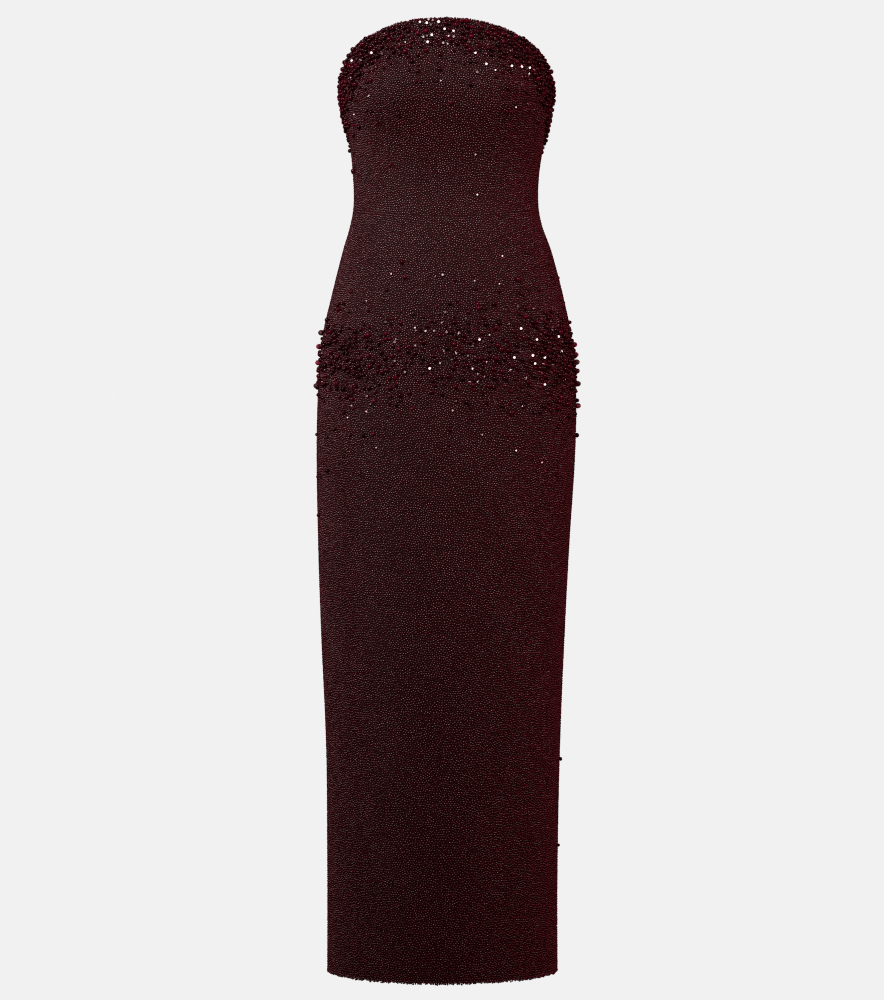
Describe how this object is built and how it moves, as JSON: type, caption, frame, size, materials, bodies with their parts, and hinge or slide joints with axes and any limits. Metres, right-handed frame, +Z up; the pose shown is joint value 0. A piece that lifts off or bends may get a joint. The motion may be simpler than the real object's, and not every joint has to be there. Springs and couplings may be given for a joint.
{
  "type": "strapless gown",
  "caption": "Strapless column gown, beaded all over, with bands of large beads at the neckline and hips, a centre back zip and a walking vent.",
  "frame": {"origin": "where the wearer holds the gown up: the middle of the body at the height of the bust, 1.128 m above the hem", "axes": "+Z up, -Y out of centre front, +X to the right of somebody who looks at the front"},
  "size_m": [0.3415, 0.2423, 1.217],
  "materials": {
    "beaded_cloth": "dark burgundy cloth covered with glossy seed beads",
    "seed_beads": "glossy deep burgundy glass",
    "large_beads": "faceted, polished garnet glass",
    "zip_tape": "matt woven tape",
    "zip_metal": "smooth dark burgundy lacquer"
  },
  "bodies": {
    "gown": {"bodice_front": "beaded_cloth", "bodice_side_front_l": "beaded_cloth", "bodice_side_front_r": "beaded_cloth", "bodice_back_l": "beaded_cloth", "bodice_back_r": "beaded_cloth", "skirt_front": "beaded_cloth", "skirt_back_l": "beaded_cloth", "skirt_back_r": "beaded_cloth", "zip_tape": "zip_tape", "zip_slider": "zip_metal"},
    "pull_tab": {"zip_pull": "zip_metal"}
  },
  "joints": [
    {"name": "pull_tab_swing", "type": "hinge", "parent": "gown", "child": "pull_tab", "pos_m": [0.00083, 0.10611, 0.00139], "axis": [1, 0, 0], "range_deg": [0, 120]}
  ]
}
